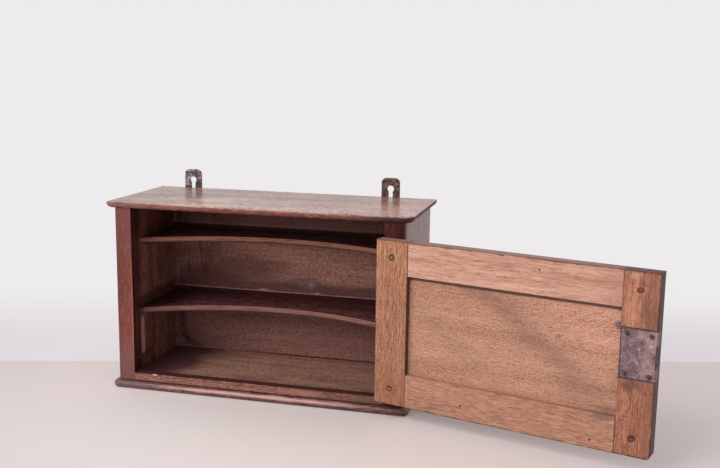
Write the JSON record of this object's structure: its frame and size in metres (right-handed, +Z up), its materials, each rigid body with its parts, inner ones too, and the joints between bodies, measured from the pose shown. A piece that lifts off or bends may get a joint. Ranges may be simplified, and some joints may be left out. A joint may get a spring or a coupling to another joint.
{
  "type": "wall cabinet",
  "caption": "Small oak hanging cabinet with hollow-fronted shelves, a framed door on butt hinges, a cut lock with its key, and iron hanging plates.",
  "frame": {"origin": "middle of the base's underside", "axes": "+X to the cabinet's right as seen from in front, +Y to the wall behind it, +Z up"},
  "size_m": [0.8936, 0.3563, 0.358],
  "materials": {
    "stained_oak": "satin red-brown stain, worn",
    "inner_oak": "dull dark brown stain",
    "floor_oak": "dull, unfinished",
    "door_oak": "bare aged oak",
    "panel_oak": "bare aged oak with flecks",
    "peg_oak": "bare end grain",
    "hanger_iron": "dark, dull",
    "lock_iron": "dark with brown rust",
    "dark_steel": "dark steel",
    "bolt_steel": "worn steel",
    "key_steel": "worn steel"
  },
  "bodies": {
    "cabinet": {"top_board": "stained_oak", "base_board": "stained_oak", "left_side": "stained_oak", "right_side": "stained_oak", "left_front_stile": "stained_oak", "right_front_stile": "stained_oak", "bottom_rail": "stained_oak", "back_board_upper": "inner_oak", "back_board_lower": "inner_oak", "upper_shelf": "inner_oak", "middle_shelf": "inner_oak", "upper_bearer_left": "inner_oak", "upper_bearer_right": "inner_oak", "middle_bearer_left": "inner_oak", "middle_bearer_right": "inner_oak", "bearer_post_left": "inner_oak", "bearer_post_right": "inner_oak", "floor_board": "floor_oak", "hanger_left": "hanger_iron", "hanger_right": "hanger_iron", "back_nails": "dark_steel", "hanger_screws": "dark_steel", "hinge_screws_carcass": "dark_steel", "hinge_leaf_carcass_lower": "dark_steel", "hinge_leaf_carcass_upper": "dark_steel", "hinge_pin_lower": "dark_steel", "hinge_pin_upper": "dark_steel"},
    "door": {"hinge_stile": "door_oak", "lock_stile": "door_oak", "door_top_rail": "door_oak", "door_bottom_rail": "door_oak", "door_panel": "panel_oak", "door_pegs": "peg_oak", "hinge_leaf_door_lower": "dark_steel", "hinge_leaf_door_upper": "dark_steel", "hinge_screws_door": "dark_steel", "lock_plate": "lock_iron", "lock_case": "lock_iron", "lock_nails": "lock_iron", "lock_spring": "dark_steel", "bolt_stud": "dark_steel", "key_post": "dark_steel"},
    "bolt": {"lock_bolt": "bolt_steel"},
    "key": {"key": "key_steel"}
  },
  "joints": [
    {"name": "door_hinge", "type": "hinge", "parent": "cabinet", "child": "door", "pos_m": [0.2154, -0.1052, 0.16], "axis": [0, 0, 1], "range_deg": [-163.5, 14.5]},
    {"name": "bolt_slide", "type": "slide", "parent": "door", "child": "bolt", "axis": [0.9588, -0.284, 0], "range_m": [0, 0.00831]},
    {"name": "key_turn", "type": "hinge", "parent": "door", "child": "key", "pos_m": [0.60699, -0.23913, 0.15825], "axis": [0.284, 0.9588, 0], "range_deg": [0, 80]}
  ],
  "couplings": [
    {"joint": "bolt_slide", "follows": "key_turn", "m_per_rad": 0.005951}
  ]
}
